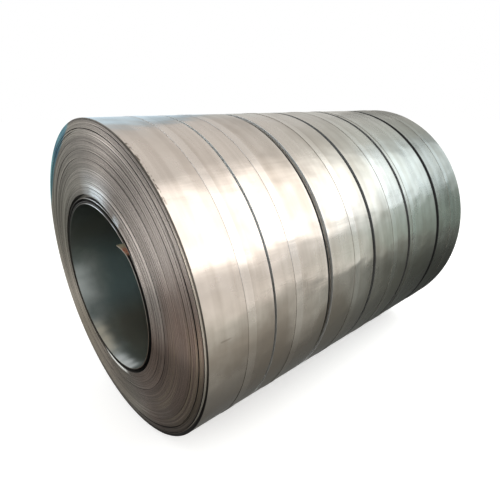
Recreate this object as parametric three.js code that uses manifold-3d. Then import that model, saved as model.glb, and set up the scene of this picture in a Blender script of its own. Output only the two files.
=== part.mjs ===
// A set of slit steel coils: one wide coil cut lengthwise into six narrow ones, which
// lie side by side on one level axis with their bores in line. Each narrow coil is held
// by one flat steel strap round it, closed by a crimped seal.
// Millimetres, +Z up. The coil axis runs along +X and the first coil is at the low X end.
// Angles round the axis are in degrees: 0 is +Y, 90 is up, 180 is -Y and 270 is down.
// The strip winds inwards as the angle falls.

import * as THREE from "three";
import { mergeVertices } from "three/addons/utils/BufferGeometryUtils.js";
import Module from "manifold-3d";

const wasm = await Module();
wasm.setup();

// ---- driving dimensions -------------------------------------------------------------

const coilRadius = 590;
const boreRadius = 305;
const stripWidth = 258;
const stripThickness = 3;
const coilGaps = [9, 27, 18, 18, 20];

// Gaps that show between turns, each counted in turns from the outside.
const turnGapWidth = 3;
const turnGapDepth = 6;
const middleTurnGaps = [14];
const endTurnGaps = [3, 14, 21, 41, 65];

// The first coil is telescoped: its inner turns slid out towards the low X end.
const telescopeShift = 28;

// On two coils the outermost turns lag behind the rest of the near face.
const firstCoilStep = { turns: 2, height: 4 };
const thirdCoilStep = { turns: 3, height: 9 };

// At each end of the strip the surface steps by one thickness, then runs out flush.
const stripEndRunAngle = 60;
const outerEndAngle = 315;
const innerEndAngle = 129;

// The innermost turn of the first coil has sprung loose and its end lifts inwards.
const looseTurnGap = 15;
const looseStartAngle = 133;
const looseSettleAngle = 180;
const looseBiteAngle = 8;
const looseTailAngle = 350;
const looseSweepAngle = 366;
const looseStepAngle = 7.5;
const looseTailLift = 38;

// Flat straps: the place of each is measured from its own coil's low X face.
const strapWidth = 32;
const strapThickness = 0.9;
const strapPlaces = [148, 91, 134, 134, 22, 130];
const strapLapLength = 58;
const strapLapBite = 0.2;

// Seals: a channel of sheet over the lapped strap ends, with crimped notches.
const sealLength = 46;
const sealWall = 1.4;
const sealNotchWidth = 7;
const sealNotchDepth = 2.2;
const sealNotchSpread = 20;
const sealAngles = [36, 24, 42, 30, 36, 24];

const clearance = 0.3;
const segments = 60;

// ---- derived sizes ------------------------------------------------------------------

const facetAngle = 360 / segments;
const flatShare = Math.cos(THREE.MathUtils.degToRad(facetAngle / 2));
const looseCoilBore = boreRadius + stripThickness + looseTurnGap;
const strapInside = coilRadius + clearance;
const strapOutside = strapInside + strapThickness;

// ---- materials ----------------------------------------------------------------------

const coilSteel = new THREE.MeshStandardMaterial({ color: 0xb5ada4, roughness: 0.34, metalness: 0.9 });
const strapSteel = new THREE.MeshStandardMaterial({ color: 0xc6c1ba, roughness: 0.3, metalness: 0.9 });
const sealSteel = new THREE.MeshStandardMaterial({ color: 0x8d9092, roughness: 0.45, metalness: 0.9 });

// ---- helpers ------------------------------------------------------------------------

const radians = THREE.MathUtils.degToRad;

// Turns a closed three.js geometry into a solid that can be joined and cut.
function solidOf(geometry) {
  const bare = geometry.clone();
  bare.deleteAttribute("normal");
  bare.deleteAttribute("uv");
  const merged = mergeVertices(bare, 1e-3);
  const vertProperties = new Float32Array(merged.attributes.position.array);
  const triVerts = new Uint32Array(merged.index.array);
  return new wasm.Manifold(new wasm.Mesh({ numProp: 3, vertProperties, triVerts }));
}

// Turns a solid back into a geometry.
function geometryOf(solid) {
  const mesh = solid.getMesh();
  const geometry = new THREE.BufferGeometry();
  geometry.setAttribute("position", new THREE.Float32BufferAttribute(mesh.vertProperties, 3));
  geometry.setIndex(Array.from(mesh.triVerts));
  geometry.computeVertexNormals();
  return geometry;
}

// Turns a profile of [radius, place along the axis] points about the X axis. A flat
// facet is lowest, so that a coil and its strap rest on flats that line up.
function turned(profile) {
  const points = profile.map(([radius, place]) => new THREE.Vector2(radius, place));
  points.push(points[0].clone());
  const geometry = new THREE.LatheGeometry(points, segments, radians(facetAngle / 2));
  geometry.rotateZ(-Math.PI / 2);
  return geometry;
}

// A point in the plane across the axis, X of which is +Y and Y of which is up.
function polar(radius, angle) {
  return new THREE.Vector2(radius * Math.cos(radians(angle)), radius * Math.sin(radians(angle)));
}

// Extrudes a shape drawn in that plane along the axis, from `start` on.
function extrudedAlongAxis(points, start, length) {
  const geometry = new THREE.ExtrudeGeometry(new THREE.Shape(points), { depth: length, bevelEnabled: false });
  geometry.applyMatrix4(new THREE.Matrix4().makeBasis(
    new THREE.Vector3(0, 1, 0),
    new THREE.Vector3(0, 0, 1),
    new THREE.Vector3(1, 0, 0),
  ));
  return geometry.translate(start, 0, 0);
}

// Turns a geometry made over the Y axis (X along the coil, Y outwards) to an angle.
function turnedTo(geometry, angle) {
  const across = new THREE.Vector3(1, 0, 0);
  const outward = new THREE.Vector3(0, Math.cos(radians(angle)), Math.sin(radians(angle)));
  const basis = new THREE.Matrix4().makeBasis(across, outward, across.clone().cross(outward));
  return geometry.applyMatrix4(basis);
}

// ---- coils --------------------------------------------------------------------------

// The radii, from the outside in, at which a gap between turns shows on a face.
function gapRadii(turnCounts, bore) {
  const radii = turnCounts.map((turns) => coilRadius - turns * stripThickness);
  return radii.filter((radius) => radius > bore + 2 * turnGapWidth);
}

// Profile of one coil: its outside, its far face, its bore and its near face. The faces
// lean by `telescope` between the outside and the bore, each gap is a V groove, and the
// turns inside `step` are shifted by its height, out of the near face and into the far one.
function coilProfile({ bore, telescope, step, nearGaps, farGaps }) {
  const lean = (radius) => -telescope * (coilRadius - radius) / (coilRadius - bore);
  const groove = (radius, face, inwards) => [
    [radius + turnGapWidth / 2, face + lean(radius + turnGapWidth / 2)],
    [radius, face + lean(radius) + inwards * turnGapDepth],
    [radius - turnGapWidth / 2, face + lean(radius - turnGapWidth / 2)],
  ];
  const ledge = (face) => {
    const radius = coilRadius - step.turns * stripThickness;
    const outer = [radius, face + lean(radius)];
    const inner = [radius, face + lean(radius) - step.height];
    return step.height > 0 ? [outer, inner] : [];
  };
  const far = gapRadii(farGaps, bore).flatMap((radius) => groove(radius, stripWidth - step.height, -1));
  const near = gapRadii(nearGaps, bore).flatMap((radius) => groove(radius, -step.height, 1));
  return [
    [coilRadius, 0],
    [coilRadius, stripWidth],
    ...ledge(stripWidth),
    ...far,
    [bore, stripWidth + lean(bore) - step.height],
    [bore, lean(bore) - step.height],
    ...near.reverse(),
    ...ledge(0).reverse(),
  ];
}

// What a strip end leaves open: a sliver one thickness high at the end, running out to
// nothing round the coil. It lies inside `radius` on the outside and outside it in the bore.
function endSliver(radius, endAngle, sense) {
  const flats = Math.round(stripEndRunAngle / facetAngle);
  const angles = Array.from({ length: flats + 1 }, (_, flat) => endAngle + sense * flat * facetAngle);
  const cut = angles.map((angle, flat) => polar(radius - sense * stripThickness * (1 - flat / flats), angle));
  const open = angles.map((angle) => polar(radius + sense * stripThickness, angle)).reverse();
  return extrudedAlongAxis([...cut, ...open], -stripWidth, 3 * stripWidth);
}

// Outside radius of the loose innermost turn, `swept` degrees round from where it leaves
// the wound body: it springs in by the gap, and at its end it lifts off towards the axis.
function looseTurnRadius(swept) {
  const settled = THREE.MathUtils.smoothstep(swept, 0, looseSettleAngle);
  const lifted = Math.max(0, (swept - looseTailAngle) / (looseSweepAngle - looseTailAngle));
  const bitten = Math.max(0, -swept / looseBiteAngle) * 2 * stripThickness;
  return looseCoilBore + bitten - settled * looseTurnGap - lifted ** 2 * looseTailLift;
}

// The loose innermost turn: a strip of sheet on edge, as wide as the coil.
function looseTurn() {
  const sweeps = [];
  for (let swept = -looseBiteAngle; swept < looseTailAngle; swept += looseStepAngle) {
    sweeps.push(swept);
  }
  for (let step = 0; step <= 4; step += 1) {
    sweeps.push(THREE.MathUtils.lerp(looseTailAngle, looseSweepAngle, step / 4));
  }
  const place = (swept, inset) => polar(looseTurnRadius(swept) - inset, looseStartAngle - swept);
  const outside = sweeps.map((swept) => place(swept, 0));
  const inside = sweeps.map((swept) => place(swept, stripThickness)).reverse();
  return extrudedAlongAxis([...outside, ...inside], -telescopeShift - firstCoilStep.height, stripWidth);
}

function firstCoil() {
  const body = turned(coilProfile({
    bore: looseCoilBore,
    telescope: telescopeShift,
    step: firstCoilStep,
    nearGaps: endTurnGaps,
    farGaps: [],
  }));
  const outerEnd = endSliver(coilRadius, outerEndAngle, 1);
  return geometryOf(solidOf(body).subtract(solidOf(outerEnd)).add(solidOf(looseTurn())));
}

function plainCoil(step, farGaps) {
  const body = turned(coilProfile({
    bore: boreRadius,
    telescope: 0,
    step,
    nearGaps: middleTurnGaps,
    farGaps,
  }));
  const outerEnd = endSliver(coilRadius, outerEndAngle, 1);
  const innerEnd = endSliver(boreRadius, innerEndAngle, -1);
  return geometryOf(solidOf(body).subtract(solidOf(outerEnd)).subtract(solidOf(innerEnd)));
}

// ---- straps and seals ---------------------------------------------------------------

// A strap is a flat band round the coil, whose end laps over its beginning.
function strap(lapAngle) {
  const band = turned([
    [strapOutside, -strapWidth / 2],
    [strapOutside, strapWidth / 2],
    [strapInside, strapWidth / 2],
    [strapInside, -strapWidth / 2],
  ]);
  const lap = new THREE.BoxGeometry(strapWidth, strapThickness + strapLapBite, strapLapLength);
  lap.translate(0, strapOutside * flatShare + (strapThickness - strapLapBite) / 2, 0);
  return geometryOf(solidOf(band).add(solidOf(turnedTo(lap, lapAngle))));
}

// A seal lies on one flat of the strap: a channel whose sides reach down past the
// strap's edges, almost to the coil, with two pairs of crimped notches.
function seal(angle) {
  const foot = (coilRadius + clearance) * flatShare;
  const roof = strapOutside * flatShare + strapThickness + clearance;
  const innerHalf = strapWidth / 2 + clearance;
  const outerHalf = innerHalf + sealWall;
  const section = new THREE.Shape([
    new THREE.Vector2(-outerHalf, foot),
    new THREE.Vector2(-innerHalf, foot),
    new THREE.Vector2(-innerHalf, roof),
    new THREE.Vector2(innerHalf, roof),
    new THREE.Vector2(innerHalf, foot),
    new THREE.Vector2(outerHalf, foot),
    new THREE.Vector2(outerHalf, roof + sealWall),
    new THREE.Vector2(-outerHalf, roof + sealWall),
  ]);
  const channel = new THREE.ExtrudeGeometry(section, { depth: sealLength, bevelEnabled: false });
  channel.translate(0, 0, -sealLength / 2);
  let solid = solidOf(channel);
  for (const side of [-1, 1]) {
    for (const end of [-1, 1]) {
      const notch = new THREE.BoxGeometry(2 * sealNotchDepth, 4 * sealWall, sealNotchWidth);
      notch.rotateY(Math.PI / 4);
      notch.translate(side * (outerHalf + sealNotchDepth), roof + sealWall, end * sealNotchSpread / 2);
      solid = solid.subtract(solidOf(notch));
    }
  }
  return turnedTo(geometryOf(solid), angle);
}

// ---- assembly -----------------------------------------------------------------------

function named(name, geometry, material, place) {
  const mesh = new THREE.Mesh(geometry, material);
  mesh.name = name;
  mesh.position.x = place;
  return mesh;
}

const noStep = { turns: 0, height: 0 };
const coilShapes = [
  firstCoil(),
  plainCoil(noStep, []),
  plainCoil(thirdCoilStep, []),
  plainCoil(noStep, []),
  plainCoil(noStep, []),
  plainCoil(noStep, endTurnGaps),
];

const set = new THREE.Group();
let place = 0;
for (const [index, shape] of coilShapes.entries()) {
  const number = index + 1;
  const strapPlace = place + strapPlaces[index] + strapWidth / 2;
  set.add(named(`coil_${number}`, shape, coilSteel, place));
  set.add(named(`strap_${number}`, strap(sealAngles[index]), strapSteel, strapPlace));
  set.add(named(`strap_seal_${number}`, seal(sealAngles[index]), sealSteel, strapPlace));
  place += stripWidth + (coilGaps[index] ?? 0);
}

// The origin is under the middle of the set, on the floor that the lowest flats rest on.
const box = new THREE.Box3().setFromObject(set, true);
const middle = box.getCenter(new THREE.Vector3());
set.position.set(-middle.x, -middle.y, -box.min.z);

const group = new THREE.Group();
group.add(set);

export default group;
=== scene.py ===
"""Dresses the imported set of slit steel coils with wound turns, straps and worn steel.

Metres, +Z up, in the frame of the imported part: the coil axis runs along +X and the floor
is at zero. Angles round the axis are in degrees: 0 is +Y, 90 is up, 180 is -Y and 270 is
down. The strip winds inwards as the angle falls.
"""

import logging
import math
import random
from dataclasses import dataclass
from enum import Enum, IntEnum
from functools import cached_property
from typing import NamedTuple

import bmesh
import bpy
from mathutils import Euler, Matrix, Vector


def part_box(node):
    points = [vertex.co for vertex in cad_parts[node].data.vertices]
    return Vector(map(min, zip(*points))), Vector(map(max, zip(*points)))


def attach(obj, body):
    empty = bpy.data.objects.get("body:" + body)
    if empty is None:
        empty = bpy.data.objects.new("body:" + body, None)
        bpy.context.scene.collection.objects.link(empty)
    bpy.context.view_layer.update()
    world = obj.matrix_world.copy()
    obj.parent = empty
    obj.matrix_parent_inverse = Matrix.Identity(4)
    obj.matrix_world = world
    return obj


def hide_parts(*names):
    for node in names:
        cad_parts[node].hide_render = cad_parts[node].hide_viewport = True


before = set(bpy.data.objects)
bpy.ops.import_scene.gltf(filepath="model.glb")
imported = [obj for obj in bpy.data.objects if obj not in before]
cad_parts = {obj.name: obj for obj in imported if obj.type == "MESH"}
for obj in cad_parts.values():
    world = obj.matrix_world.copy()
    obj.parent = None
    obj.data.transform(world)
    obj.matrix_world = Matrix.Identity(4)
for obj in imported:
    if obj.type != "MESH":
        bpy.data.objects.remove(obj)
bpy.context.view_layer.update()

LOG = logging.getLogger("slit_coils")

Material = bpy.types.Material
Node = bpy.types.Node
Object = bpy.types.Object
Socket = bpy.types.NodeSocket
Tree = bpy.types.NodeTree
Mesh = bmesh.types.BMesh
Colour = tuple[float, float, float, float]
Triple = tuple[float, float, float]
Pair = tuple[float, float]
Feeds = dict[str, Socket | Colour | float]

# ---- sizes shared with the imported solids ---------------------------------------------

BODY = "root"
COIL_COUNT = 6
COIL_NODE, STRAP_NODE, SEAL_NODE = "coil_{}", "strap_{}", "strap_seal_{}"

STRIP_THICKNESS = 0.003
BORE_RADIUS = 0.305
LOOSE_TURN_GAP = 0.015
TELESCOPE_SHIFT = 0.028
CLEARANCE = 0.0003

OUTER_END_ANGLE = 315.0
INNER_END_ANGLE = 129.375
STRIP_END_RUN = 60.0

STEPS_PER_TURN = 192
STEP_ANGLE = 360.0 / STEPS_PER_TURN

# ---- other constants -----------------------------------------------------------------

# Points closer than this are one, and radii closer than this are the same.
TOUCHING, ROUNDING = 1e-6, 1e-5
# A face looks along the axis where its normal does by more than this.
SIDEWAYS = 0.5

WHITE = (1.0, 1.0, 1.0, 1.0)
ALONG_AXIS = (1.0, 0.0, 0.0)
ACROSS_AXIS = (0.0, 1.0, 1.0)

# ---- small helpers -------------------------------------------------------------------


def linear(hex_colour: str) -> Colour:
    """Turns an sRGB hex colour into a linear one.

    Args:
        hex_colour: Six hex digits, with or without a leading hash.

    Returns:
        Linear red, green and blue, and an alpha of one.
    """
    digits = hex_colour.lstrip("#")
    shares = [int(digits[i:i + 2], 16) / 255 for i in (0, 2, 4)]
    bent = [s / 12.92 if s <= 0.04045 else ((s + 0.055) / 1.055) ** 2.4 for s in shares]
    return (bent[0], bent[1], bent[2], 1.0)


def smooth_share(value: float, low: float, high: float) -> float:
    """Share from 0 at `low` to 1 at `high`, with soft ends."""
    share = min(1.0, max(0.0, (value - low) / (high - low)))
    return share * share * (3 - 2 * share)


def angle_between(first: float, second: float) -> float:
    """Smallest difference of two angles in degrees, always positive."""
    return abs((first - second + 180) % 360 - 180)


def polar_direction(angle: float) -> Triple:
    """Direction across the axis at an angle in degrees."""
    return (0.0, math.cos(math.radians(angle)), math.sin(math.radians(angle)))


def round_axis(axis_height: float, x: float, radius: float, turned: float) -> Triple:
    """Point at a place along the axis, a radius and an angle in radians."""
    return (x, radius * math.cos(turned), axis_height + radius * math.sin(turned))


def outwardness(face: bmesh.types.BMFace, axis_height: float) -> float:
    """How far a face looks away from the axis, negative where it looks towards it."""
    spoke = face.calc_center_median() - Vector((0.0, 0.0, axis_height))
    return face.normal.y * spoke.y + face.normal.z * spoke.z


def new_material(name: str) -> Material:
    """Makes a material with nodes.

    Args:
        name: Its name.

    Returns:
        The material.
    """
    material = bpy.data.materials.new(name)
    material.use_nodes = True
    return material


def feed(tree: Tree, node: Node, inputs: dict) -> None:
    """Gives a node its values and links.

    Args:
        tree: The tree that holds the node.
        node: The node.
        inputs: Input name or number to a plain value or to the socket that feeds it.
    """
    for key, value in inputs.items():
        if isinstance(value, Socket):
            tree.links.new(value, node.inputs[key])
        else:
            node.inputs[key].default_value = value


def add_node(tree: Tree, kind: str, inputs: dict | None = None, **settings) -> Node:
    """Adds one node with its settings, values and links.

    Args:
        tree: The tree that the node goes into.
        kind: The node's type name.
        inputs: Input name or number to a plain value or to the socket that feeds it.
        **settings: Attributes of the node, such as its operation.

    Returns:
        The new node.
    """
    node = tree.nodes.new(kind)
    for name, value in settings.items():
        setattr(node, name, value)
    feed(tree, node, inputs or {})
    return node


# ---- node graphs ---------------------------------------------------------------------

MIX_SHARE, MIX_FIRST, MIX_SECOND, MIX_COLOUR = 0, 6, 7, 2
NOISE_ROUGHNESS = 0.55


class Sector(NamedTuple):
    """A sector round the axis, in degrees.

    Attributes:
        angle: Angle at its middle.
        whole: How far to either side it is whole.
        edge: How far to either side it ends.
    """

    angle: float
    whole: float
    edge: float


# What a product of masks takes: a mask, a plain share, a sector, or a value with its limits.
Mask = Socket | float | Sector | tuple


@dataclass(frozen=True)
class Ramp:
    """Brightness along one axis, in straight pieces.

    Attributes:
        axis: The axis, X, Y or Z.
        stops: Place in metres and brightness of each corner, in rising order.
    """

    axis: str
    stops: tuple[Pair, ...]


@dataclass
class NodeGraph:
    """The nodes of one material, and the coordinates that they follow.

    Attributes:
        tree: The material's tree.
        place: Coordinates, on the steel measured from the coil axis.
    """

    tree: Tree
    place: Socket

    @cached_property
    def axes(self) -> Node:
        """The coordinates, split into X, Y and Z."""
        return add_node(self.tree, "ShaderNodeSeparateXYZ", {0: self.place})

    @cached_property
    def along(self) -> Socket:
        """Place along the axis."""
        return self.axes.outputs["X"]

    @cached_property
    def flat(self) -> Socket:
        """The coordinates without their part along the axis."""
        return self.step("MULTIPLY", {0: self.place, 1: ACROSS_AXIS}).outputs["Vector"]

    @cached_property
    def out(self) -> Socket:
        """Distance from the axis."""
        return self.step("LENGTH", {0: self.flat}).outputs["Value"]

    def step(self, operation: str, inputs: dict) -> Node:
        """Adds one step of vector arithmetic."""
        return add_node(self.tree, "ShaderNodeVectorMath", inputs, operation=operation)

    def noise(self, scale: Triple, detail: float = 3.0, place: Socket | None = None) -> Socket:
        """A noise drawn out by its scale along each axis.

        Args:
            scale: Cells to the metre along X, Y and Z.
            detail: How many finer layers it has.
            place: Coordinates that it follows, if they aren't the graph's.

        Returns:
            The noise's value, about 0.5 on average.
        """
        stretched = add_node(self.tree, "ShaderNodeMapping", {
            "Vector": self.place if place is None else place, "Scale": scale,
        }).outputs["Vector"]
        return add_node(self.tree, "ShaderNodeTexNoise", {
            "Vector": stretched, "Scale": 1.0, "Detail": detail, "Roughness": NOISE_ROUGHNESS,
        }).outputs["Fac"]

    def mask(self, value: Socket, low: float, high: float, bottom: float = 0.0, top: float = 1.0) -> Socket:
        """Maps a value from `low` and `high` to `bottom` and `top`, with soft ends."""
        return add_node(self.tree, "ShaderNodeMapRange", {
            "Value": value, "From Min": low, "From Max": high, "To Min": bottom, "To Max": top,
        }, interpolation_type="SMOOTHSTEP").outputs["Result"]

    def combine(self, operation: str, first: Socket | float, second: Socket | float) -> Socket:
        """One arithmetic step on two values, kept between 0 and 1."""
        return add_node(self.tree, "ShaderNodeMath", {0: first, 1: second}, operation=operation,
                        use_clamp=True).outputs["Value"]

    def product(self, *masks: Mask) -> Socket:
        """Product of masks.

        Args:
            *masks: Each a mask, a plain share, a sector, or a value with the arguments of `mask`.

        Returns:
            Their product.
        """
        product = None
        for mask in masks:
            if isinstance(mask, Sector):
                mask = self.sector(mask)
            elif isinstance(mask, tuple):
                mask = self.mask(*mask)
            product = mask if product is None else self.combine("MULTIPLY", product, mask)
        return product

    def total(self, first: Socket, second: Socket, share: float = 1.0) -> Socket:
        """Sum of a value and a share of another."""
        return add_node(self.tree, "ShaderNodeMath", {0: second, 1: share, 2: first},
                        operation="MULTIPLY_ADD").outputs["Value"]

    def facing(self, angle: float) -> Socket:
        """One at an angle round the axis, and minus one across from it: a cosine."""
        spoke = self.step("NORMALIZE", {0: self.flat}).outputs["Vector"]
        return self.step("DOT_PRODUCT", {0: spoke, 1: polar_direction(angle)}).outputs["Value"]

    def sector(self, sector: Sector) -> Socket:
        """Mask of a sector round the axis."""
        edge, whole = math.cos(math.radians(sector.edge)), math.cos(math.radians(sector.whole))
        return self.mask(self.facing(sector.angle), edge, whole)

    def blend(self, share: Socket | float, first: Socket | Colour, second: Socket | Colour,
              way: str = "MIX") -> Socket:
        """Blends two colours by a share."""
        return add_node(self.tree, "ShaderNodeMix", {
            MIX_SHARE: share, MIX_FIRST: first, MIX_SECOND: second,
        }, data_type="RGBA", blend_type=way).outputs[MIX_COLOUR]

    def over(self, colour: Socket | Colour, hex_colour: str, *masks: Mask) -> Socket:
        """The colour with another one over it where all masks are one."""
        return self.blend(self.product(*masks), colour, linear(hex_colour))

    def times(self, colour: Socket | Colour, tone: Socket | Colour) -> Socket:
        """The colour multiplied by a tone."""
        return self.blend(1.0, colour, tone, "MULTIPLY")

    def toned(self, colour: Socket, tone: Colour, *masks: Mask) -> Socket:
        """The colour, multiplied by a tone where all masks are one."""
        return self.blend(self.product(*masks), colour, self.times(colour, tone))

    def ramp(self, ramp: Ramp) -> Socket:
        """Adds a ramp.

        Args:
            ramp: The ramp.

        Returns:
            Its brightness.
        """
        low, high = ramp.stops[0][0], ramp.stops[-1][0]
        share = add_node(self.tree, "ShaderNodeMapRange", {
            "Value": self.axes.outputs[ramp.axis], "From Min": low, "From Max": high,
        }).outputs["Result"]
        node = add_node(self.tree, "ShaderNodeValToRGB", {"Fac": share})
        corners = node.color_ramp.elements
        # A new ramp has two corners; the others go between them.
        for corner, (at, level) in zip((corners[0], corners[1]), (ramp.stops[0], ramp.stops[-1])):
            corner.position = (at - low) / (high - low)
            corner.color = (level, level, level, 1.0)
        for at, level in ramp.stops[1:-1]:
            corners.new((at - low) / (high - low)).color = (level, level, level, 1.0)
        return node.outputs["Color"]

    def relief(self, *layers: tuple[Socket, float]) -> Socket:
        """Lays bumps one over the other.

        Args:
            *layers: Height of each bump from 0 to 1, and its real depth in metres.

        Returns:
            The bumped normal.
        """
        inputs = {"Strength": 1.0}
        for height, depth in layers:
            bump = add_node(self.tree, "ShaderNodeBump", {**inputs, "Height": height, "Distance": depth})
            inputs["Normal"] = bump.outputs["Normal"]
        return inputs["Normal"]


# ---- finishes ------------------------------------------------------------------------


class Grain(Enum):
    """Direction across the rolling grain, in which a highlight is drawn out."""

    ALONG_AXIS = "along_axis"
    RADIAL = "radial"


@dataclass(frozen=True)
class SteelFinish:
    """What all steel surfaces of the set share: a metal with a grain round the axis.

    Attributes:
        name: Name of the material.
        axis_height: Height of the coil axis above the floor.
        clean: Colour of the clean metal.
        shaded: Colour of its duller bands.
        dirt: Colour of the painted shade low down and on the under side.
        roughness: Roughness of the clean metal.
        grain: Direction across the rolling grain.
        stretch: How much the grain draws a highlight out, 0 to 1.
        grazed: Tint where light grazes the steel, which darkens it a little.
    """

    name: str
    axis_height: float
    clean: str = "#C4BBB1"
    shaded: str = "#AAA199"
    dirt: str = "#5E534B"
    roughness: float = 0.3
    grain: Grain = Grain.ALONG_AXIS
    stretch: float = 0.5
    grazed: Colour = (0.8, 0.8, 0.8, 1.0)

    def build(self) -> Material:
        """Makes the material.

        Returns:
            The finished material.
        """
        material = new_material(self.name)
        tree = material.node_tree
        centred = add_node(tree, "ShaderNodeMapping", {
            "Vector": add_node(tree, "ShaderNodeTexCoord").outputs["Object"],
            "Location": (0.0, 0.0, -self.axis_height),
        }).outputs["Vector"]
        graph = NodeGraph(tree, centred)
        if self.grain is Grain.RADIAL:
            tangent = graph.step("MULTIPLY", {0: centred, 1: ACROSS_AXIS})
        else:
            tangent = graph.step("MULTIPLY", {0: ALONG_AXIS, 1: ALONG_AXIS})
        feed(tree, tree.nodes["Principled BSDF"], {
            "Metallic": 1.0,
            "Roughness": self.roughness,
            "Anisotropic": self.stretch,
            "Specular Tint": self.grazed,
            "Tangent": tangent.outputs["Vector"],
            **self.shade(graph),
        })
        return material

    def mottled(self, graph: NodeGraph, noise: Socket, low: float, high: float) -> Socket:
        """The clean metal with its duller patches, where a noise rises from `low` to `high`."""
        return graph.blend(graph.mask(noise, low, high), linear(self.clean), linear(self.shaded))

    def shade(self, graph: NodeGraph) -> Feeds:
        """What the surface feeds its shader; each finish says its own.

        Args:
            graph: The material's nodes.

        Returns:
            Shader input to what feeds it.
        """
        raise NotImplementedError


@dataclass(frozen=True)
class ColdRolledStrip(SteelFinish):
    """Cold-rolled strip: satin bands round the coil, and brown painted shade low on the camera side.

    Attributes:
        film_angle: Angle round the axis at the middle of the painted shade low on the camera side.
        film_start: Cosine of the angle away from there at which it starts, at the near end.
        film_whole: Cosine at which it is whole.
        film_wander: How far clouds in it reach round, as a cosine.
        film_climb: How much further it reaches at the far end, as a cosine.
        half_length: Half the length of the set.
        far_tone: Colour that multiplies the metal at the far end of the set as painted shade, greener and
            darker.
        far_run: Places along the axis between which that shade comes on.
        far_angle: Angle round the axis at which it is strongest.
        far_coil: Place along the axis past which the last coil lies, which is painted darkest.
        last_tone: Colour that multiplies the metal there, as painted shade.
        grimy: Colour of the painted shade on both sides of that gap.
        grimy_share: How much of the metal it hides.
        grimy_reach: How far from the gap it ends, and how far it is whole.
        chipped: Colour of the chips in the rim of the first coil.
        chipped_rim: Place of that rim along the axis.
        chipped_depth: How far from the rim the chips end, and how far they are whole.
        chips: Where they are.
        scratch: Where a short dark scratch on the first coil is.
        scratch_start: Places along the axis between which it comes on.
        scratch_end: Places along the axis between which it goes off.
        scratch_share: How dark it is.
    """

    film_angle: float = 240.0
    film_start: float = 0.30
    film_whole: float = 0.80
    film_wander: float = 0.12
    film_climb: float = 0.12
    half_length: float = 0.836
    far_tone: str = "#E0F4F6"
    far_run: Pair = (-0.6, 0.5)
    far_angle: float = 200.0
    far_coil: float = 0.568
    last_tone: Colour = (0.82, 0.82, 0.81, 1.0)
    grimy: str = "#2B2B27"
    grimy_share: float = 0.85
    grimy_reach: Pair = (0.017, 0.013)
    chipped: str = "#6A5F56"
    chipped_rim: float = -0.804
    chipped_depth: Pair = (0.010, 0.003)
    chips: Sector = Sector(126.0, 8.0, 16.0)
    scratch: Sector = Sector(178.9, 0.10, 0.35)
    scratch_start: Pair = (-0.762, -0.756)
    scratch_end: Pair = (-0.716, -0.730)
    scratch_share: float = 0.4

    def shade(self, graph: NodeGraph) -> Feeds:
        """Satin bands with painted shade low down, and the marks of handling.

        Args:
            graph: The material's nodes.

        Returns:
            Shader input to what feeds it.
        """
        # Rolling bands are some 30 mm wide and run right round the coil.
        bands = graph.noise((30.0, 0.8, 0.8), 2.0)
        # Scuffs and oil clouds are a hand to an arm across.
        clouds = graph.noise((5.0, 4.0, 4.0), 4.0)
        # Strip wound over strip lies in shallow hollows, with fine breaks across it.
        hollows = graph.noise((4.0, 6.0, 6.0), 2.0)
        breaks = graph.noise((7.0, 70.0, 70.0), 2.0)
        dull = graph.combine("ADD", graph.mask(bands, 0.35, 0.7, 0.0, 0.45),
                             graph.mask(clouds, 0.42, 0.72, 0.0, 0.55))
        colour = graph.blend(dull, linear(self.clean), linear(self.shaded))
        # Painted shade low on the camera side, climbing towards the far end.
        colour = graph.over(colour, self.dirt, self.film(graph, clouds))
        return {
            "Base Color": self.handled(graph, self.far_off(graph, colour)),
            "Roughness": graph.mask(clouds, 0.25, 0.75, self.roughness - 0.04, self.roughness + 0.07),
            "Normal": graph.relief((hollows, 0.010), (breaks, 0.00028), (bands, 0.0003)),
        }

    def film(self, graph: NodeGraph, clouds: Socket) -> Socket:
        """Mask of the painted shade low on the camera side, which is uneven and climbs towards the far end.

        Args:
            graph: The material's nodes.
            clouds: Noise that makes it uneven.

        Returns:
            The mask.
        """
        uneven = graph.mask(clouds, 0.3, 0.7, -self.film_wander, self.film_wander)
        climb = graph.mask(graph.along, -self.half_length, self.half_length, 0.0, self.film_climb)
        level = graph.total(graph.total(graph.facing(self.film_angle), uneven), climb)
        return graph.mask(level, self.film_start, self.film_whole)

    def far_off(self, graph: NodeGraph, colour: Socket) -> Socket:
        """The colour with painted shade towards the far end, darkest on the last coil and beside the gap
        before it.

        Args:
            graph: The material's nodes.
            colour: Colour so far.

        Returns:
            The colour.
        """
        along, gap = graph.along, self.far_coil
        # Painted shade: greener, darker metal towards the far end, strongest low on the camera side, darker
        # still on the last coil.
        colour = graph.toned(colour, linear(self.far_tone), (along, *self.far_run),
                             (graph.facing(self.far_angle), -0.5, 0.5, 0.3, 1.0))
        # Painted shade on both sides of the gap before the last coil.
        ends, whole = self.grimy_reach
        colour = graph.over(colour, self.grimy, (along, gap - ends, gap - whole),
                            (along, gap + ends, gap + whole), self.grimy_share)
        return graph.toned(colour, self.last_tone, (along, gap, gap + 0.002))

    def handled(self, graph: NodeGraph, colour: Socket) -> Socket:
        """The colour with the chipped rim and the scratch of the first coil.

        Args:
            graph: The material's nodes.
            colour: Colour so far.

        Returns:
            The colour.
        """
        # The chips are dark and a few millimetres across.
        ends, whole = self.chipped_depth
        colour = graph.over(colour, self.chipped,
                            (graph.along, self.chipped_rim + ends, self.chipped_rim + whole), self.chips,
                            (graph.noise((160.0, 70.0, 70.0), 3.0), 0.50, 0.56))
        return graph.over(colour, self.chipped, (graph.along, *self.scratch_start),
                          (graph.along, *self.scratch_end), self.scratch, self.scratch_share)


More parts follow.
